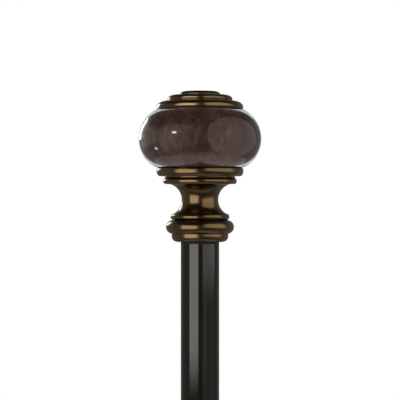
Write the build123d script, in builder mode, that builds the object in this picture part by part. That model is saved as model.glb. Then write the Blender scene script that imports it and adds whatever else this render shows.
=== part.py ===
from build123d import *
from math import sqrt
import os

# Telescoping curtain rod with two adjustable wall brackets and two turned finials.
# Frame: +X along the rod towards its sliding end, +Y into the wall, +Z up.
# The origin is the middle of the left wall plate's back face. All sizes are in millimetres.

INCH = 25.4
OVERCUT = 1.0  # how far a cutting tool runs past the face that it breaks through

# Rod tubes, a 28 to 48 inch set shown drawn out to 36 inches
outer_tube_radius = 0.5 * INCH
inner_tube_radius = 0.4375 * INCH
outer_tube_wall = 0.8
inner_tube_wall = 0.8
outer_tube_length = 28 * INCH
inner_tube_length = 28 * INCH
rod_length = 36 * INCH
left_overhang = 150.0  # left tube end to the left bracket
right_overhang = 100.0  # right tube end to the right bracket
mouth_roll = 1.6  # length of tube rolled in at the outer tube's mouth
mouth_clearance = 0.10
glide_clearance = 0.08
plug_clearance = 0.05

# End plugs with their threaded inserts
plug_flange = 1.3
plug_length = 26.0
plug_hub_radius = 8.0
plug_rib_count = 6
plug_rib_width = 2.4
plug_face_length = 4.0
insert_radius = 6.0
insert_length = 16.0
insert_recess = 0.3
insert_groove_width = 3.0
insert_groove_depth = 0.6
glide_head_length = 12.0
glide_shank_length = 16.0
glide_bore_radius = 7.5
glide_lead = 1.0

# Tie stud that holds each finial together and screws into the end plug
stud_radius = 4.0
thread_clearance = 0.05
stud_engagement = 13.0
stud_in_crown = 6.0
stud_chamfer = 0.8
hole_relief = 2.0  # free depth past the end of a stud

# Finial heights, from the plug's flange to the top of the crown
foot_radius = 18.75
foot_round = 3.7
foot_height = 5.3
drum_radius = 22.5
drum_top = 14.4
ring_radius = 19.45
ring_root = 17.9
ring_crest = 16.4
ring_top = 18.7
waist_radius = 12.1
waist_cove = 10.7
waist_height = 27.9
collar_bottom = 38.3
collar_root = 23.4
collar_radius = 24.35
collar_top = 42.1
quirk_radius = 23.1
rim_bottom = 43.5
rim_root = 27.3
rim_radius = 28.8
rim_crest = 46.85
rim_top_root = 28.0
rim_top = 49.4
spigot_radius = 9.0
spigot_height = 3.0
spigot_clearance = 0.1

# Ball: its side is one arc
ball_height = 38.6
ball_widest = 18.9  # height of its widest circle over its foot
ball_radius = 40.6
ball_foot_radius = 29.55
ball_top_radius = 28.0

# Crown, from the top of the ball upwards
brim_root = 28.46
brim_radius = 28.65
brim_crest = 1.1  # height of its widest circle
brim_shoulder_radius = 27.5
brim_shoulder = 3.55
brim_neck = 23.0
brim_height = 5.2
step_radius = 21.6
step_height = 0.6
groove_radius = 20.7
groove_height = 0.45
bead_root = 21.47
bead_radius = 21.5
bead_crest = 0.3
bead_shoulder_radius = 20.85
bead_shoulder = 1.65
bead_neck = 17.0
bead_height = 3.0
button_radius = 13.4
button_side = 0.8
button_shoulder_radius = 12.3
button_shoulder = 0.95
button_neck = 9.0
button_height = 1.5
button_dome = 0.3

# Wall plates
projection = 3.5 * INCH  # wall to the rod's axis
plate_height = 78.0
plate_width = 34.0
plate_thickness = 3.2
plate_bevel = 1.6
screw_spacing = 54.0
screw_hole_radius = 2.6
screw_head_radius = 5.0
seat_depth = 1.0  # recess in the plate that locates the arm sleeve
seat_radius = 10.0
seat_clearance = 0.05

# Arm sleeves, measured out from the wall
sleeve_reach = 53.0
sleeve_radius = 8.5
sleeve_foot_radius = 14.0
sleeve_foot_height = 3.5
sleeve_cove = 4.0
sleeve_bead_radius = 10.5
sleeve_bead_length = 11.0
sleeve_bead_round = 1.6
sleeve_bore_start = 9.0
arm_clearance = 0.06

# Arm bars
arm_radius = 6.0
arm_flat = 0.8
arm_length = 47.0
arm_collar_radius = 8.0
arm_collar_length = 3.0
arm_stem_radius = 3.0
arm_stem_length = 4.0
arm_chamfer = 0.6

# Cradles
cradle_radius = outer_tube_radius + 0.3
cradle_wall = 2.5
cradle_width = 18.0
cradle_front = 8.0  # height of the front lip over the cradle's axis
cradle_back = 12.0
cradle_corner = 6.0
cradle_edge = 0.5
cradle_boss_radius = 8.0
cradle_boss_length = 4.0
clamp_boss_radius = 5.5
clamp_boss_length = 4.0
rest_clearance = 0.3  # between a tube and what it rests on

# Thumb screws: the clamp under each cradle and the lock under each arm sleeve
screw_radius = 2.5
screw_tip = 0.5
screw_show = 3.4  # bare thread between boss and knob
knob_grip = 6.0  # stud length inside the knob
knob_radius = 6.5
knob_height = 8.5
knob_neck_ratio = 0.72
knob_neck_height = 1.6
knob_scallops = 12
knob_scallop_radius = 0.9
knob_edge = 0.6

# Places that follow from the sizes above
rod_y = -projection
left_end = -left_overhang
mouth_x = left_end + outer_tube_length
right_end = left_end + rod_length
inner_start = right_end - inner_tube_length
left_seat = left_end - plug_flange
right_seat = right_end + plug_flange
right_bracket_x = right_end - right_overhang
outer_bore = outer_tube_radius - outer_tube_wall
inner_bore = inner_tube_radius - inner_tube_wall
right_lift = cradle_radius - inner_tube_radius - rest_clearance
ball_bottom = rim_top
ball_top = ball_bottom + ball_height

os.makedirs("parts", exist_ok=True)


def axial_plane(origin, outward):
    """Plane for a profile turned about the rod's axis: x is the radius, y runs outwards."""
    return Plane(origin=origin, x_dir=(0, 0, 1), z_dir=(0, outward, 0))


def axial_axis(origin, outward):
    """The rod's axis at a point, pointing outwards."""
    return Axis(origin, (outward, 0, 0))


def cove_radius_at(height):
    """Radius of the finial's waist at a height on its cove."""
    return waist_radius + waist_cove - sqrt(waist_cove**2 - (height - waist_height) ** 2)


def write(part, name):
    """Label a finished piece and write it."""
    part.label = name
    export_step(part, "parts/" + name + ".step")


# ---------------------------------------------------------------- tubes

with BuildPart() as outer_tube:
    with BuildSketch(axial_plane((left_end, rod_y, 0), 1)):
        with BuildLine():
            Polyline(
                (outer_bore, outer_tube_length - mouth_roll),
                (outer_bore, 0),
                (outer_tube_radius, 0),
                (outer_tube_radius, outer_tube_length - mouth_roll),
            )
            mouth_edge = TangentArc(
                (outer_tube_radius, outer_tube_length - mouth_roll),
                (outer_tube_radius - outer_tube_wall, outer_tube_length),
                tangent=(0, 1),
            )
            Polyline(
                mouth_edge @ 1,
                (inner_tube_radius + mouth_clearance, outer_tube_length),
                (inner_tube_radius + mouth_clearance, outer_tube_length - mouth_roll),
                (outer_bore, outer_tube_length - mouth_roll),
            )
        make_face()
    revolve(axis=axial_axis((left_end, rod_y, 0), 1))
write(outer_tube.part, "outer_tube")

with BuildPart() as inner_tube:
    with BuildSketch(Plane(origin=(inner_start, rod_y, 0), z_dir=(1, 0, 0))):
        Circle(inner_tube_radius)
        Circle(inner_bore, mode=Mode.SUBTRACT)
    extrude(amount=inner_tube_length)
write(inner_tube.part, "inner_tube")

# Nylon glide in the hidden end of the inner tube: its head runs in the outer tube's bore
glide_plane = Plane(origin=(inner_start, rod_y, 0), z_dir=(-1, 0, 0))
with BuildPart(glide_plane) as inner_glide:
    with BuildSketch(glide_plane):
        Circle(outer_bore - glide_clearance)
    extrude(amount=glide_head_length)
    chamfer(inner_glide.edges().sort_by(Axis.X)[0], glide_lead)
    with BuildSketch(glide_plane):
        Circle(inner_bore - plug_clearance)
    extrude(amount=-glide_shank_length)
    Hole(glide_bore_radius)
write(inner_glide.part, "inner_glide")


# ---------------------------------------------------------------- end plugs


def build_end_plug(side, seat_x, outward, flange_radius, bore_radius):
    """Black nylon plug with crush ribs, and the threaded insert moulded into it."""
    seat = Plane(origin=(seat_x, rod_y, 0), z_dir=(outward, 0, 0))
    body_radius = bore_radius - plug_clearance
    with BuildPart() as plug:
        with BuildSketch(seat.offset(-plug_flange)):
            Circle(body_radius)
        extrude(amount=-plug_face_length)
        with BuildSketch(seat.offset(-plug_flange)):
            Circle(plug_hub_radius)
            with PolarLocations(0, plug_rib_count):
                Rectangle(body_radius, plug_rib_width, align=(Align.MIN, Align.CENTER))
        extrude(amount=plug_flange - plug_length)
        with BuildSketch(seat.offset(-plug_flange)):
            Circle(body_radius)
        extrude(amount=plug_flange - plug_length, mode=Mode.INTERSECT)
        with BuildSketch(seat):
            Circle(flange_radius)
        extrude(amount=-plug_flange)
        with BuildSketch(seat):
            Circle(insert_radius)
        extrude(amount=-insert_recess - insert_length, mode=Mode.SUBTRACT)
        with BuildSketch(seat.offset(-insert_recess - insert_length)):
            Circle(stud_radius + thread_clearance)
        extrude(amount=-hole_relief, mode=Mode.SUBTRACT)
    write(plug.part, side + "_end_plug")

    insert_face = seat.offset(-insert_recess)
    with BuildPart(insert_face) as insert:
        with BuildSketch(insert_face):
            Circle(insert_radius)
        extrude(amount=-insert_length)
        with BuildSketch(insert_face.offset(-0.5 * (insert_length - insert_groove_width))):
            Circle(insert_radius)
            Circle(insert_radius - insert_groove_depth, mode=Mode.SUBTRACT)
        extrude(amount=-insert_groove_width, mode=Mode.SUBTRACT)
        Hole(stud_radius + thread_clearance)
    write(insert.part, side + "_threaded_insert")


build_end_plug("left", left_seat, -1, outer_tube_radius - 0.5 * plug_clearance, outer_bore)
build_end_plug("right", right_seat, 1, inner_tube_radius - 0.5 * plug_clearance, inner_bore)


# ---------------------------------------------------------------- finials


def build_finial(side, seat_x, outward):
    """Cast base, turned ball and cast crown, clamped together by a threaded stud."""
    origin = (seat_x, rod_y, 0)
    profile_plane = axial_plane(origin, outward)
    turning_axis = axial_axis(origin, outward)
    seat = Plane(origin=origin, z_dir=(outward, 0, 0))
    stud_hole = stud_radius + thread_clearance

    with BuildPart() as base:
        with BuildSketch(profile_plane):
            with BuildLine():
                Line((stud_hole, 0), (foot_radius - foot_round, 0))
                foot = RadiusArc(
                    (foot_radius - foot_round, 0), (foot_radius, foot_round), -foot_round
                )
                drum_middle = 0.5 * (foot_height + drum_top)
                drum_root = drum_radius - 0.5 * (drum_top - foot_height)
                Polyline(foot @ 1, (foot_radius, foot_height), (drum_root, foot_height))
                drum = ThreePointArc(
                    (drum_root, foot_height), (drum_radius, drum_middle), (drum_root, drum_top)
                )
                ring = ThreePointArc(drum @ 1, (ring_radius, ring_crest), (ring_root, ring_top))
                Line(ring @ 1, (cove_radius_at(ring_top), ring_top))
                cove = ThreePointArc(
                    (cove_radius_at(ring_top), ring_top),
                    (waist_radius, waist_height),
                    (cove_radius_at(collar_bottom), collar_bottom),
                )
                Line(cove @ 1, (collar_root, collar_bottom))
                collar = ThreePointArc(
                    (collar_root, collar_bottom),
                    (collar_radius, 0.5 * (collar_bottom + collar_top)),
                    (collar_root, collar_top),
                )
                quirk = ThreePointArc(
                    collar @ 1,
                    (quirk_radius, 0.5 * (collar_top + rim_bottom)),
                    (collar_root, rim_bottom),
                )
                Line(quirk @ 1, (rim_root, rim_bottom))
                rim = ThreePointArc(
                    (rim_root, rim_bottom), (rim_radius, rim_crest), (rim_top_root, rim_top)
                )
                Polyline(
                    rim @ 1,
                    (spigot_radius, rim_top),
                    (spigot_radius, rim_top + spigot_height),
                    (stud_hole, rim_top + spigot_height),
                    (stud_hole, 0),
                )
            make_face()
        revolve(axis=turning_axis)
    write(base.part, side + "_finial_base")

    socket_depth = spigot_height + spigot_clearance
    socket_radius = spigot_radius + spigot_clearance
    with BuildPart() as ball:
        with BuildSketch(profile_plane):
            with BuildLine():
                bulge = ThreePointArc(
                    (ball_foot_radius, ball_bottom),
                    (ball_radius, ball_bottom + ball_widest),
                    (ball_top_radius, ball_top),
                )
                Polyline(
                    bulge @ 1,
                    (socket_radius, ball_top),
                    (socket_radius, ball_top - socket_depth),
                    (stud_hole, ball_top - socket_depth),
                    (stud_hole, ball_bottom + socket_depth),
                    (socket_radius, ball_bottom + socket_depth),
                    (socket_radius, ball_bottom),
                    bulge @ 0,
                )
            make_face()
        revolve(axis=turning_axis)
    write(ball.part, side + "_finial_ball")

    brim_top = ball_top + brim_height
    step_top = brim_top + step_height
    groove_top = step_top + groove_height
    bead_top = groove_top + bead_height
    button_edge = bead_top + button_side
    button_top = button_edge + button_height
    crown_hole_top = ball_top + stud_in_crown + hole_relief
    with BuildPart() as crown:
        with BuildSketch(profile_plane):
            with BuildLine():
                Polyline(
                    (0, crown_hole_top),
                    (stud_hole, crown_hole_top),
                    (stud_hole, ball_top - spigot_height),
                    (spigot_radius, ball_top - spigot_height),
                    (spigot_radius, ball_top),
                    (brim_root, ball_top),
                )
                brim = ThreePointArc(
                    (brim_root, ball_top),
                    (brim_radius, ball_top + brim_crest),
                    (brim_shoulder_radius, ball_top + brim_shoulder),
                )
                brim_crown = TangentArc(brim @ 1, (brim_neck, brim_top), tangent=brim % 1)
                Polyline(
                    brim_crown @ 1,
                    (step_radius, brim_top),
                    (step_radius, step_top),
                    (groove_radius, step_top),
                    (groove_radius, groove_top),
                    (bead_root, groove_top),
                )
                bead = ThreePointArc(
                    (bead_root, groove_top),
                    (bead_radius, groove_top + bead_crest),
                    (bead_shoulder_radius, groove_top + bead_shoulder),
                )
                bead_crown = TangentArc(bead @ 1, (bead_neck, bead_top), tangent=bead % 1)
                Polyline(bead_crown @ 1, (button_radius, bead_top), (button_radius, button_edge))
                edge = ThreePointArc(
                    (button_radius, button_edge),
                    (button_shoulder_radius, button_edge + button_shoulder),
                    (button_neck, button_top),
                )
                dome_radius = 0.5 * (button_neck**2 / button_dome + button_dome)
                dome = RadiusArc(edge @ 1, (0, button_top + button_dome), -dome_radius)
                Line(dome @ 1, (0, crown_hole_top))
            make_face()
        revolve(axis=turning_axis)
    write(crown.part, side + "_finial_crown")

    with BuildPart() as stud:
        with BuildSketch(seat.offset(-stud_engagement)):
            Circle(stud_radius)
        extrude(amount=stud_engagement + ball_top + stud_in_crown)
        chamfer(stud.faces().filter_by(Axis.X).edges(), stud_chamfer)
    write(stud.part, side + "_tie_stud")


build_finial("left", left_seat, -1)
build_finial("right", right_seat, 1)


# ---------------------------------------------------------------- brackets


def build_thumb_screw(side, name, tip, stud_length):
    """Steel stud that points up, with its tip at the given point, and the knob round its foot."""
    tip_x, tip_y, tip_z = tip
    stud_end = tip_z - stud_length
    knob_top = stud_end + knob_grip
    with BuildPart() as stud:
        with BuildSketch(Plane(origin=tip)):
            Circle(screw_radius)
        extrude(amount=-stud_length)
        chamfer(stud.edges().sort_by(Axis.Z)[-1], screw_tip)
    write(stud.part, side + "_" + name + "_stud")

    knob_plane = Plane(origin=(tip_x, tip_y, knob_top))
    grip_plane = knob_plane.offset(-knob_neck_height)
    with BuildPart() as knob:
        with BuildSketch(grip_plane):
            Circle(knob_radius)
        extrude(amount=knob_neck_height - knob_height)
        chamfer(knob.edges().filter_by(GeomType.CIRCLE), knob_edge)
        with BuildSketch(grip_plane):
            with PolarLocations(knob_radius, knob_scallops):
                Circle(knob_scallop_radius)
        extrude(amount=knob_neck_height - knob_height, mode=Mode.SUBTRACT)
        with BuildSketch(knob_plane):
            Circle(knob_radius * knob_neck_ratio)
        extrude(amount=-knob_neck_height)
        with BuildSketch(knob_plane):
            Circle(screw_radius + thread_clearance)
        extrude(amount=-knob_grip, mode=Mode.SUBTRACT)
    write(knob.part, side + "_" + name + "_knob")


def build_bracket(side, x, z):
    """Wall plate, arm sleeve, sliding arm, cradle and thumb screws around a point on the wall."""
    wall = Plane(origin=(x, 0, z), x_dir=(0, 0, 1), z_dir=(0, -1, 0))
    turning_plane = Plane(origin=(x, 0, z), x_dir=(1, 0, 0), z_dir=(0, 0, -1))
    arm_axis = Axis((x, 0, z), (0, -1, 0))

    with BuildPart(wall) as plate:
        with BuildSketch(wall):
            SlotOverall(plate_height, plate_width)
        extrude(amount=plate_thickness)
        chamfer(plate.faces().sort_by(Axis.Y)[0].edges(), plate_bevel)
        with BuildSketch(wall.offset(plate_thickness)):
            Circle(seat_radius)
        extrude(amount=-seat_depth, mode=Mode.SUBTRACT)
        with Locations(
            (0.5 * screw_spacing, 0, plate_thickness), (-0.5 * screw_spacing, 0, plate_thickness)
        ):
            CounterSinkHole(screw_hole_radius, screw_head_radius)
    write(plate.part, side + "_wall_plate")

    bead_start = sleeve_reach - sleeve_bead_length
    foot_top = plate_thickness + sleeve_foot_height
    lock_y = -(sleeve_reach - 0.5 * sleeve_bead_length)
    bore_radius = arm_radius + arm_clearance
    with BuildPart() as sleeve:
        with BuildSketch(turning_plane):
            with BuildLine():
                Polyline(
                    (0, plate_thickness - seat_depth),
                    (seat_radius - seat_clearance, plate_thickness - seat_depth),
                    (seat_radius - seat_clearance, plate_thickness),
                    (sleeve_foot_radius, plate_thickness),
                    (sleeve_foot_radius, foot_top),
                    (sleeve_radius + sleeve_cove, foot_top),
                )
                flare = RadiusArc(
                    (sleeve_radius + sleeve_cove, foot_top),
                    (sleeve_radius, foot_top + sleeve_cove),
                    sleeve_cove,
                )
                Polyline(
                    flare @ 1,
                    (sleeve_radius, bead_start),
                    (sleeve_bead_radius - sleeve_bead_round, bead_start),
                )
                shoulder = RadiusArc(
                    (sleeve_bead_radius - sleeve_bead_round, bead_start),
                    (sleeve_bead_radius, bead_start + sleeve_bead_round),
                    -sleeve_bead_round,
                )
                Line(shoulder @ 1, (sleeve_bead_radius, sleeve_reach - sleeve_bead_round))
                nose = RadiusArc(
                    (sleeve_bead_radius, sleeve_reach - sleeve_bead_round),
                    (sleeve_bead_radius - sleeve_bead_round, sleeve_reach),
                    -sleeve_bead_round,
                )
                Polyline(
                    nose @ 1,
                    (bore_radius, sleeve_reach),
                    (bore_radius, sleeve_bore_start),
                    (0, sleeve_bore_start),
                    (0, plate_thickness - seat_depth),
                )
            make_face()
        revolve(axis=arm_axis)
        with BuildSketch(Plane(origin=(x, lock_y, z))):
            Circle(screw_radius + thread_clearance)
        extrude(amount=-sleeve_bead_radius - OVERCUT, mode=Mode.SUBTRACT)
    write(sleeve.part, side + "_arm_sleeve")

    boss_face = projection - cradle_radius - cradle_wall - cradle_boss_length
    collar_back = boss_face - arm_collar_length
    arm_end = boss_face - arm_length
    boss_plane = wall.offset(boss_face)
    with BuildPart() as arm:
        with BuildSketch(boss_plane):
            Circle(arm_stem_radius)
        extrude(amount=arm_stem_length)
        with BuildSketch(boss_plane):
            Circle(arm_collar_radius)
        extrude(amount=-arm_collar_length)
        with BuildSketch(boss_plane):
            Circle(arm_radius)
        extrude(amount=-arm_length)
        chamfer(arm.faces().sort_by(Axis.Y)[-1].edges(), arm_chamfer)
        with BuildSketch(wall.offset(collar_back)):
            with Locations((-arm_radius + arm_flat, 0)):
                Rectangle(arm_radius, 2 * arm_radius, align=(Align.MAX, Align.CENTER))
        extrude(amount=arm_end - collar_back, mode=Mode.SUBTRACT)
    write(arm.part, side + "_arm_bar")

    cradle_centre = (x, rod_y, z)
    cross_section = Plane(origin=cradle_centre, x_dir=(0, 1, 0), z_dir=(1, 0, 0))
    shell_radius = cradle_radius + cradle_wall
    boss_bottom = shell_radius + clamp_boss_length
    with BuildPart() as cradle:
        with BuildSketch(cross_section):
            with BuildLine():
                outer_curve = ThreePointArc((-shell_radius, 0), (0, -shell_radius), (shell_radius, 0))
                Polyline(
                    outer_curve @ 1,
                    (shell_radius, cradle_back),
                    (cradle_radius, cradle_back),
                    (cradle_radius, cradle_front),
                    (-shell_radius, cradle_front),
                    outer_curve @ 0,
                )
            make_face()
        extrude(amount=0.5 * cradle_width, both=True)
        with BuildSketch(Plane(origin=cradle_centre, x_dir=(0, 0, 1), z_dir=(0, 1, 0))):
            Circle(cradle_boss_radius)
        extrude(amount=shell_radius + cradle_boss_length)
        with BuildSketch(Plane(origin=cradle_centre, z_dir=(0, 0, -1))):
            Circle(clamp_boss_radius)
        extrude(amount=boss_bottom)
        with BuildSketch(cross_section):
            Circle(cradle_radius)
            Rectangle(
                2 * cradle_radius, cradle_back + OVERCUT, align=(Align.CENTER, Align.MIN)
            )
        extrude(amount=0.5 * cradle_width + OVERCUT, both=True, mode=Mode.SUBTRACT)
        wall_corners = cradle.edges().filter_by(Axis.Y).filter_by_position(
            Axis.Z, z + cradle_front - cradle_edge, z + cradle_back + cradle_edge
        )
        fillet(wall_corners, cradle_corner)
        with BuildSketch(Plane(origin=cradle_centre, z_dir=(0, 0, -1))):
            Circle(screw_radius + thread_clearance)
        extrude(amount=boss_bottom + OVERCUT, mode=Mode.SUBTRACT)
        with BuildSketch(boss_plane):
            Circle(arm_stem_radius + seat_clearance)
        extrude(amount=arm_stem_length + seat_clearance, mode=Mode.SUBTRACT)
    write(cradle.part, side + "_cradle")

    clamp_length = cradle_wall + clamp_boss_length + screw_show + knob_grip
    build_thumb_screw(side, "clamp", (x, rod_y, z - cradle_radius), clamp_length)
    lock_tip = arm_radius - arm_flat + rest_clearance
    lock_length = sleeve_bead_radius - lock_tip + screw_show + knob_grip
    build_thumb_screw(side, "lock", (x, lock_y, z - lock_tip), lock_length)


build_bracket("left", 0, 0)
build_bracket("right", right_bracket_x, right_lift)
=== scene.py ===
import math

import bpy
from mathutils import Matrix, Vector


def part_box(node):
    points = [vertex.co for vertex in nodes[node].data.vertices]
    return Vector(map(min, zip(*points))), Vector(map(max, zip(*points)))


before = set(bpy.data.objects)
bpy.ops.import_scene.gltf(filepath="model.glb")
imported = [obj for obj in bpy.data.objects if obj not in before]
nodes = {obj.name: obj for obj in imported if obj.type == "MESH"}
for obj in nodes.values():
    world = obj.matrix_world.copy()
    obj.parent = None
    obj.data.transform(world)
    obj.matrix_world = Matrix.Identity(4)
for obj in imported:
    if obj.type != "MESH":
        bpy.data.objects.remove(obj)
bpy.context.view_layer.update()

scene = bpy.context.scene

# ------------------------------------------------------------------ places, in metres, in the shared frame
WAIST_HEIGHT = 0.0277  # heights along the finial, from its seat on the rod
BALL_HEIGHT = 0.0683
CROWN_HEIGHT = 0.0900
UP = Vector((-1, 0, 0))  # the photographed rod stands upright, finial up
RIGHT = Vector((0, 0, 1))
NEAR = Vector((0, -1, 0))  # towards the camera

rod_y = sum(corner.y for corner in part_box("outer_tube")) / 2
seat_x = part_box("left_finial_base")[1].x  # where the left finial meets the rod's end


def on_finial(height):
    return Vector((seat_x - height, rod_y, 0.0))


waist = on_finial(WAIST_HEIGHT)  # the neck's waist, which the camera looks at
ball_middle = on_finial(BALL_HEIGHT)
crown_middle = on_finial(CROWN_HEIGHT)


# ------------------------------------------------------------------ node helpers
class Tree:
    """A node tree with short ways to add nodes and arithmetic."""

    def __init__(self, tree):
        self.tree = tree
        tree.nodes.clear()

    def add(self, kind, inputs=None, **settings):
        node = self.tree.nodes.new(kind)
        for name, value in settings.items():
            setattr(node, name, value)
        for name, value in (inputs or {}).items():
            self.put(node.inputs[name], value)
        return node

    def put(self, socket, value):
        if isinstance(value, bpy.types.NodeSocket):
            self.tree.links.new(value, socket)
        elif isinstance(value, bpy.types.Node):
            self.tree.links.new(value.outputs[0], socket)
        else:
            socket.default_value = value

    def math(self, operation, *values):
        node = self.add("ShaderNodeMath", operation=operation)
        for socket, value in zip(node.inputs, values):
            self.put(socket, value)
        return node.outputs[0]

    def plus(self, a, b):
        return self.math("ADD", a, b)

    def minus(self, a, b):
        return self.math("SUBTRACT", a, b)

    def times(self, a, b):
        return self.math("MULTIPLY", a, b)

    def length(self, a, b):
        """The length of a flat vector."""
        return self.math("SQRT", self.plus(self.times(a, a), self.times(b, b)))

    def step(self, value, low, high):
        """0 below low, 1 above high, smooth between; low may be the larger of the two."""
        settings = {"Value": value, "From Min": low, "From Max": high}
        return self.add("ShaderNodeMapRange", settings, interpolation_type="SMOOTHSTEP").outputs[0]

    def ramp(self, value, *stops):
        """A colour that follows value through stops, each a place and a colour."""
        node = self.add("ShaderNodeValToRGB", {"Fac": value})
        elements = node.color_ramp.elements
        while len(elements) < len(stops):
            elements.new(1.0)
        for element, (place, colour) in zip(elements, stops):
            element.position = place
            element.color = (*colour, 1.0)
        return node.outputs["Color"]

    def mix(self, share, a, b, blend="MIX"):
        node = self.add("ShaderNodeMix", data_type="RGBA", blend_type=blend)
        colours = [socket for socket in node.inputs if socket.type == "RGBA"]
        self.put(node.inputs[0], share)
        for socket, value in zip(colours, (a, b)):
            self.put(socket, (*value, 1.0) if isinstance(value, tuple) else value)
        return next(socket for socket in node.outputs if socket.type == "RGBA")

    def stretch(self, source, scale):
        return self.add("ShaderNodeMapping", {"Vector": source, "Scale": scale}).outputs[0]

    def noise(self, vector, scale, detail, rough, distort=0.0):
        settings = {"Vector": vector, "Scale": scale, "Detail": detail, "Roughness": rough,
                    "Distortion": distort}
        return self.add("ShaderNodeTexNoise", settings).outputs[0]

    def bump(self, height, distance):
        settings = {"Height": height, "Distance": distance, "Strength": 1.0}
        return self.add("ShaderNodeBump", settings).outputs[0]


def material(name):
    """A new material with its tree, its shader and the object's own coordinates."""
    made = bpy.data.materials.new(name)
    made.use_nodes = True
    tree = Tree(made.node_tree)
    shader = tree.add("ShaderNodeBsdfPrincipled")
    tree.add("ShaderNodeOutputMaterial", {"Surface": shader})
    place = tree.add("ShaderNodeTexCoord").outputs["Object"]
    return made, tree, shader, place


# ------------------------------------------------------------------ materials
# Noise scales are in figures per metre and bump distances in metres.
def antique_bronze():
    """Dark bronze wash over a turned casting: satin gloss, faint turning lines, mottled wash."""
    made, t, shader, place = material("antique_bronze")
    wash = t.noise(place, scale=55.0, detail=5.0, rough=0.6)
    fleck = t.noise(place, scale=900.0, detail=3.0, rough=0.6)
    t.put(shader.inputs["Base Color"], t.ramp(
        t.plus(t.times(wash, 0.8), t.times(fleck, 0.2)),
        (0.30, (0.094, 0.058, 0.027)), (0.52, (0.124, 0.079, 0.039)), (0.72, (0.142, 0.094, 0.049))))
    shader.inputs["Metallic"].default_value = 1.0
    lines = t.noise(t.stretch(place, (1, 0.02, 0.02)), scale=5200.0, detail=2.0, rough=0.7)
    uneven = t.plus(t.times(wash, 0.05), t.times(lines, 0.05))
    t.put(shader.inputs["Roughness"], t.plus(0.17, uneven))
    grain = t.noise(place, scale=1500.0, detail=2.0, rough=0.5)
    t.put(shader.inputs["Normal"], t.bump(t.plus(t.times(lines, 0.6), grain), distance=0.000004))
    return made


def lacquered_walnut():
    """Dark stained walnut whose grain runs along the rod's axis, under a clear polished lacquer."""
    made, t, shader, place = material("lacquered_walnut")
    broad = t.noise(t.stretch(place, (0.6, 1, 1)), scale=42.0, detail=3.0, rough=0.6, distort=0.5)
    mottle = t.noise(t.stretch(place, (0.55, 1, 1)), scale=200.0, detail=4.0, rough=0.6, distort=0.4)
    fibre = t.noise(t.stretch(place, (0.09, 1, 1)), scale=620.0, detail=4.0, rough=0.65)
    pore = t.noise(t.stretch(place, (0.035, 1, 1)), scale=1500.0, detail=2.0, rough=0.6)
    dust = t.noise(place, scale=1900.0, detail=3.0, rough=0.7)
    stain = t.ramp(
        t.plus(t.times(broad, 0.42), t.times(mottle, 0.58)),
        (0.36, (0.022, 0.012, 0.010)), (0.46, (0.036, 0.018, 0.013)),
        (0.54, (0.056, 0.024, 0.016)), (0.64, (0.078, 0.041, 0.030)))
    streak = t.ramp(fibre, (0.32, (0.62, 0.60, 0.60)), (0.50, (1.0, 1.0, 1.0)), (0.68, (1.4, 1.36, 1.34)))
    wood = t.mix(1.0, stain, streak, blend="MULTIPLY")
    wood = t.mix(t.step(pore, 0.60, 0.70), wood, (0.020, 0.011, 0.008))
    wood = t.mix(t.times(t.step(dust, 0.60, 0.72), 0.55), wood, (0.165, 0.095, 0.065))
    t.put(shader.inputs["Base Color"], wood)
    for name, value in (("Roughness", 0.45), ("Specular IOR Level", 0.1), ("Coat Weight", 1.0),
                        ("Coat Roughness", 0.025), ("Coat IOR", 1.5)):
        shader.inputs[name].default_value = value
    return made


def gloss_black():
    """Black stove enamel on steel: deep gloss, a trace of olive and a very slight flow in the film."""
    made, t, shader, place = material("gloss_black")
    flow = t.noise(place, scale=240.0, detail=2.0, rough=0.5)
    shade = t.noise(place, scale=30.0, detail=3.0, rough=0.5)
    t.put(shader.inputs["Base Color"], t.ramp(
        shade, (0.35, (0.0042, 0.0045, 0.0004)), (0.65, (0.0060, 0.0063, 0.0018))))
    t.put(shader.inputs["Roughness"], t.plus(0.085, t.times(flow, 0.03)))
    shader.inputs["Specular IOR Level"].default_value = 0.5
    t.put(shader.inputs["Normal"], t.bump(flow, distance=0.000003))
    return made


def dull_black(name, skin_scale, dark, light, roughness, spread, relief, specular=0.5):
    """Black with a fine even skin: moulded nylon, or the satin paint of the knobs."""
    made, t, shader, place = material(name)
    skin = t.noise(place, scale=skin_scale, detail=3.0, rough=0.6)
    t.put(shader.inputs["Base Color"], t.ramp(skin, (0.3, dark), (0.7, light)))
    t.put(shader.inputs["Roughness"], t.plus(roughness, t.times(skin, spread)))
    shader.inputs["Specular IOR Level"].default_value = specular
    t.put(shader.inputs["Normal"], t.bump(skin, distance=relief))
    return made


def turned_metal(name, dark, light, roughness, spread):
    """Bright turned metal with fine lines round its axis, which lies along X or Z."""
    made, t, shader, place = material(name)
    lines = t.noise(t.stretch(place, (1, 0.05, 1)), scale=4200.0, detail=3.0, rough=0.7)
    haze = t.noise(place, scale=160.0, detail=3.0, rough=0.6)
    t.put(shader.inputs["Base Color"], t.ramp(haze, (0.3, dark), (0.7, light)))
    shader.inputs["Metallic"].default_value = 1.0
    t.put(shader.inputs["Roughness"], t.plus(roughness, t.times(lines, spread)))
    t.put(shader.inputs["Normal"], t.bump(lines, distance=0.000006))
    return made


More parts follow.
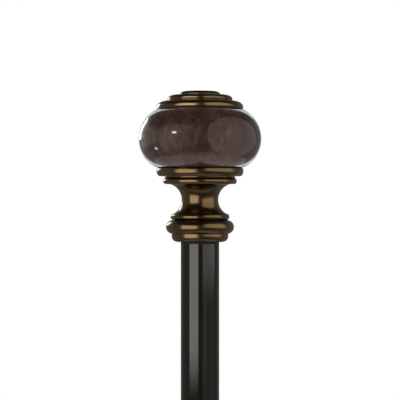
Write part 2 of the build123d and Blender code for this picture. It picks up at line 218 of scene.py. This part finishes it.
finishes = {
    "antique_bronze": antique_bronze(),
    "lacquered_walnut": lacquered_walnut(),
    "gloss_black": gloss_black(),
    "black_nylon": dull_black(
        "black_nylon", 2600.0, dark=(0.008, 0.008, 0.008), light=(0.013, 0.013, 0.013),
        roughness=0.52, spread=0.16, relief=0.00001, specular=0.25),
    "black_knob": dull_black(
        "black_knob", 2200.0, dark=(0.016, 0.016, 0.016), light=(0.026, 0.025, 0.025),
        roughness=0.26, spread=0.14, relief=0.000008),
    "brass": turned_metal(
        "brass", dark=(0.58, 0.38, 0.14), light=(0.70, 0.48, 0.20), roughness=0.22, spread=0.16),
    "zinc_steel": turned_metal(
        "zinc_steel", dark=(0.48, 0.49, 0.50), light=(0.60, 0.61, 0.62), roughness=0.24, spread=0.18),
}
for node in nodes.values():
    for held in node.material_slots:
        slot = held.material.name.split(".")[0]
        if slot in finishes:
            held.material = finishes[slot]


def stand(thing, right, up, back, place):
    """Puts a camera or a lamp at a place, facing away from back."""
    scene.collection.objects.link(thing)
    thing.matrix_world = Matrix((
        (right.x, up.x, back.x, place.x), (right.y, up.y, back.y, place.y),
        (right.z, up.z, back.z, place.z), (0, 0, 0, 1)))


# ------------------------------------------------------------------ camera: the photograph's view
DISTANCE = 1.4
VIEW_WIDTH = 0.2646  # how much of the object the picture takes in, at the rod
SENSOR_WIDTH = 36.0  # in millimetres
camera_data = bpy.data.cameras.new("camera")
camera_data.sensor_width = SENSOR_WIDTH
camera_data.lens = SENSOR_WIDTH * DISTANCE / VIEW_WIDTH
camera_data.clip_start = 0.05
camera_data.clip_end = 60.0
camera = bpy.data.objects.new("camera", camera_data)
stand(camera, RIGHT, UP, NEAR, waist + NEAR * DISTANCE)
scene.camera = camera

# ------------------------------------------------------------------ what each lamp lights
lacquer, castings, crown, tubes, finials, distant = (
    bpy.data.collections.new(name)
    for name in ("lacquer", "castings", "crown", "tubes", "finials", "distant"))
for name, node in nodes.items():
    if name.endswith("finial_ball"):
        lacquer.objects.link(node)
    elif name.endswith("finial_crown"):
        crown.objects.link(node)
    elif name.endswith("_tube"):
        tubes.objects.link(node)
    else:
        castings.objects.link(node)
    if "finial" in name:
        finials.objects.link(node)
    if not name.startswith("left_finial"):
        distant.objects.link(node)


# ------------------------------------------------------------------ lamps
def panel(name, azimuth, distance, width, low, high, radiance, only, edge=0.02, end=None, roll=0.0, tilt=0.0,
          tint=(1, 1, 1), lean=0.0, gloss=True, diffuse=True, centre=waist, round_shape=False):
    """A soft flat panel that faces the rod's axis and lights the collection only. Azimuth is measured round
    the rod from the camera, to the picture's right, and tilt lifts it towards the finial; low and high are
    heights along the rod, towards the finial, from the centre; edge and end are how far the light fades in
    from the panel's sides and ends, and lean is how much brighter its side of larger azimuth is than its
    middle; radiance 1 is white."""
    a, e = math.radians(azimuth), math.radians(tilt)
    level_out = NEAR * math.cos(a) + RIGHT * math.sin(a)
    out = level_out * math.cos(e) + UP * math.sin(e)
    rise = UP * math.cos(e) - level_out * math.sin(e)
    side = RIGHT * math.cos(a) - NEAR * math.sin(a)
    height = high - low
    middle = centre + out * distance + rise * (low + high) / 2
    turn = Matrix.Rotation(math.radians(roll), 3, out)

    data = bpy.data.lights.new(name, "AREA")
    data.shape = "RECTANGLE"
    data.size, data.size_y = width, height
    data.energy = radiance * math.pi * width * height
    data.color = tint
    data.use_nodes = True
    t = Tree(data.node_tree)
    where = t.add("ShaderNodeSeparateXYZ", {0: t.add("ShaderNodeNewGeometry").outputs["Parametric"]})
    # both run from 0 in the middle to 1 at the rim
    across, along = (t.times(t.math("ABSOLUTE", t.minus(where.outputs[axis], 0.5)), 2.0) for axis in (0, 1))
    side_fade = 1.0 - 2 * edge / width
    end_fade = 1.0 - 2 * (edge if end is None else end) / height
    if round_shape:
        fade = t.step(t.length(across, along), 1.0, side_fade)
    else:
        fade = t.times(t.step(across, 1.0, side_fade), t.step(along, 1.0, end_fade))
    shade = t.plus(1.0, t.times(t.minus(where.outputs[0], 0.5), 2.0 * lean))
    glow = t.add("ShaderNodeEmission", {"Strength": t.times(fade, shade)})
    t.add("ShaderNodeOutputLight", {"Surface": glow})

    lamp = bpy.data.objects.new(name, data)
    stand(lamp, turn @ side, turn @ rise, out, middle)
    lamp.visible_glossy, lamp.visible_diffuse = gloss, diffuse
    lamp.light_linking.receiver_collection = only
    return lamp


GREENISH = (0.98, 1.0, 0.94)
SAND = (1.0, 0.91, 0.86)
DEEP_SAND = (1.0, 0.92, 0.80)
ROSE = (1.0, 0.86, 0.82)

# the key is near on the left, and the wide fill on the right reaches over the finial
KEY = dict(azimuth=-37.5, distance=0.27, width=0.30)
FILL = dict(azimuth=56, distance=0.36, width=0.68, edge=0.06)
panel("key", **KEY, low=-0.155, high=0.125, radiance=2.8, only=castings)
panel("fill", **FILL, low=-0.10, high=0.46, radiance=1.35, roll=-6, tint=GREENISH, only=castings)

# the tubes show the lower ends of both, and two weak patches below the fill
panel("key_on_tube", **KEY, low=-0.157, high=0.125, radiance=3.05, end=0.044, only=tubes)
panel("fill_on_tube", **FILL, low=-0.088, high=0.46, radiance=1.26, end=0.045, tint=SAND, only=tubes)
panel("below_fill", azimuth=50, distance=0.36, width=0.56, low=-0.40, high=-0.03, radiance=0.14, edge=0.05,
      only=tubes)
panel("between", azimuth=29, distance=0.36, width=0.19, low=-0.19, high=-0.035, radiance=0.24, edge=0.05,
      end=0.06, tint=DEEP_SAND, only=tubes)

# the crown shows both from above
on_crown = dict(only=crown, centre=crown_middle)
panel("key_on_crown", **KEY, low=0.020, high=0.38, radiance=4.2, **on_crown)
panel("fill_on_crown", **FILL, low=0.012, high=0.90, radiance=1.8, tint=GREENISH, **on_crown)

# the walls of the room at each side, which the bronze shows as a dull brown sheen
for name, azimuth, level in (("left_wall", -108, 0.13), ("right_wall", 122, 0.10)):
    for shown_by in (dict(only=castings), on_crown):
        panel(name, azimuth, distance=0.60, width=0.75, low=-0.60, high=0.60, radiance=level, edge=0.12,
              diffuse=False, **shown_by)

# the same key and fill, and the smaller lights, as the lacquered ball shows them
on_ball = dict(only=lacquer, centre=ball_middle)
mirrored = dict(**on_ball, diffuse=False)  # seen in the lacquer, without lighting the wood
panel("key_on_wood", azimuth=-18, distance=0.30, width=0.26, low=-0.16, high=0.30, radiance=2.0, gloss=False,
      only=lacquer)
panel("key_gleam", azimuth=-48, distance=0.30, width=0.44, low=-0.22, high=0.30, radiance=0.42, edge=0.08,
      tint=ROSE, **mirrored)
panel("fill_on_wood", azimuth=69.3, distance=0.30, width=0.95, low=-0.475, high=0.475, radiance=0.58,
      edge=0.05, tilt=3, lean=-0.4, tint=ROSE, round_shape=True, **on_ball)
panel("left_gleam", azimuth=-112, distance=0.30, width=0.38, low=-0.09, high=0.15, radiance=0.38, edge=0.05,
      tint=ROSE, **mirrored)
panel("window", azimuth=-47, distance=0.30, width=0.056, low=-0.020, high=0.020, radiance=24.0, edge=0.018,
      tilt=15, **mirrored)
panel("window_low", azimuth=-93, distance=0.30, width=0.052, low=-0.022, high=0.022, radiance=9.0, edge=0.020,
      tilt=-23, roll=-30, round_shape=True, **mirrored)
panel("below_wood", azimuth=180, distance=0.40, width=0.88, low=-0.44, high=0.44, radiance=0.42, edge=0.05,
      tilt=-72, round_shape=True, tint=ROSE, **mirrored)

# lamps behind the ball, which draw its pale rim; only the ball itself shades them
BACK = dict(azimuth=180, distance=0.30)
BACK_EDGE_AZIMUTH = 156.4
BACK_EDGE = dict(distance=0.327, width=0.057)
behind = dict(edge=0.010, **mirrored)
back_lamps = [
    panel("back_of_wood", **BACK, width=0.31, low=-0.30, high=0.42, radiance=0.45, **behind),
    panel("above_back", **BACK, width=0.27, low=0.39, high=0.55, radiance=2.2, **behind)]
for name, low, high, level in (("back", 0.09, 0.42, 1.0), ("low", -0.32, -0.08, 0.9)):
    for side, azimuth in (("_right", BACK_EDGE_AZIMUTH), ("_left", -BACK_EDGE_AZIMUTH)):
        back_lamps.append(
            panel(name + side, azimuth, **BACK_EDGE, low=low, high=high, radiance=level, **behind))
for lamp in back_lamps:
    lamp.light_linking.blocker_collection = lacquer

# a narrow bright strip behind on the left, which draws the thin white edges
panel("strip", azimuth=-147.8, distance=0.5, width=0.108, low=0.0, high=0.19, radiance=8.0, edge=0.01,
      only=finials, centre=ball_middle)

# the rest of the rod, which the photograph leaves out
FAR_ROD = dict(low=-1.25, high=-0.42, only=distant)
panel("key_along", azimuth=-40, distance=0.45, width=0.40, radiance=1.6, **FAR_ROD)
panel("fill_along", azimuth=62, distance=0.60, width=0.60, radiance=1.0, **FAR_ROD)


# ------------------------------------------------------------------ world
def studio():
    """White to the camera. To all else a dim room: brighter behind the object than in front of it, darker
    towards the ceiling, and pale below. X points down in the picture and Y away from the camera."""
    front, behind_gain, pale_below, ceiling_loss = 0.11, 0.10, 0.5, 0.7
    world = bpy.data.worlds.new("studio")
    world.use_nodes = True
    t = Tree(world.node_tree)
    way = t.add("ShaderNodeSeparateXYZ", {0: t.add("ShaderNodeTexCoord").outputs["Generated"]})
    down, away = way.outputs[0], way.outputs[1]
    walls = t.plus(front, t.times(t.step(away, -0.85, -0.15), behind_gain))
    walls = t.times(walls, t.minus(1.0, t.times(t.step(down, -0.30, -0.60), ceiling_loss)))
    ground = t.times(t.step(down, 0.74, 0.82), pale_below)
    seen = t.add("ShaderNodeLightPath").outputs["Is Camera Ray"]
    level = t.math("MAXIMUM", t.math("MAXIMUM", ground, walls), seen)
    sky = t.add("ShaderNodeBackground", {"Color": (1, 1, 1, 1), "Strength": level})
    t.add("ShaderNodeOutputWorld", {"Surface": sky})
    return world


scene.world = studio()


# ------------------------------------------------------------------ floor, well below the rod
FLOOR_MIDDLE_X = 0.5
FLOOR_HEIGHT = -0.80
FLOOR_RADIUS = 3.4
FLOOR_FADE = 1.6, 3.3  # the radii between which it fades into the background
FLOOR_SIDES = 96


def floor_finish():
    """Pale paint, lifted for the camera, that fades out with distance and can't be seen from below."""
    camera_lift = 0.62
    finish = bpy.data.materials.new("pale_floor")
    finish.use_nodes = True
    t = Tree(finish.node_tree)
    geometry = t.add("ShaderNodeNewGeometry")
    place = t.add("ShaderNodeSeparateXYZ", {0: geometry.outputs["Position"]})
    radius = t.length(t.minus(place.outputs[0], FLOOR_MIDDLE_X), t.minus(place.outputs[1], rod_y))
    pale = t.add("ShaderNodeBsdfDiffuse", {"Color": (0.82, 0.81, 0.79, 1)})
    lit = t.add("ShaderNodeEmission", {"Color": (1, 1, 1, 1), "Strength": 1.0})
    share = t.times(t.add("ShaderNodeLightPath").outputs["Is Camera Ray"], camera_lift)
    paint = t.add("ShaderNodeMixShader", {0: share, 1: pale, 2: lit})
    gone = t.math("MAXIMUM", t.step(radius, *FLOOR_FADE), geometry.outputs["Backfacing"])
    clear = t.add("ShaderNodeBsdfTransparent")
    faded = t.add("ShaderNodeMixShader", {0: gone, 1: paint, 2: clear})
    t.add("ShaderNodeOutputMaterial", {"Surface": faded})
    return finish


def floor():
    mesh = bpy.data.meshes.new("floor")
    angles = [k * math.tau / FLOOR_SIDES for k in range(FLOOR_SIDES)]
    ring = [(FLOOR_MIDDLE_X + FLOOR_RADIUS * math.cos(angle), rod_y + FLOOR_RADIUS * math.sin(angle),
             FLOOR_HEIGHT) for angle in angles]
    mesh.from_pydata(ring, [], [list(range(FLOOR_SIDES))])
    mesh.materials.append(floor_finish())
    made = bpy.data.objects.new("floor", mesh)
    scene.collection.objects.link(made)
    made.visible_glossy = False


floor()

scene.view_settings.view_transform = "Standard"
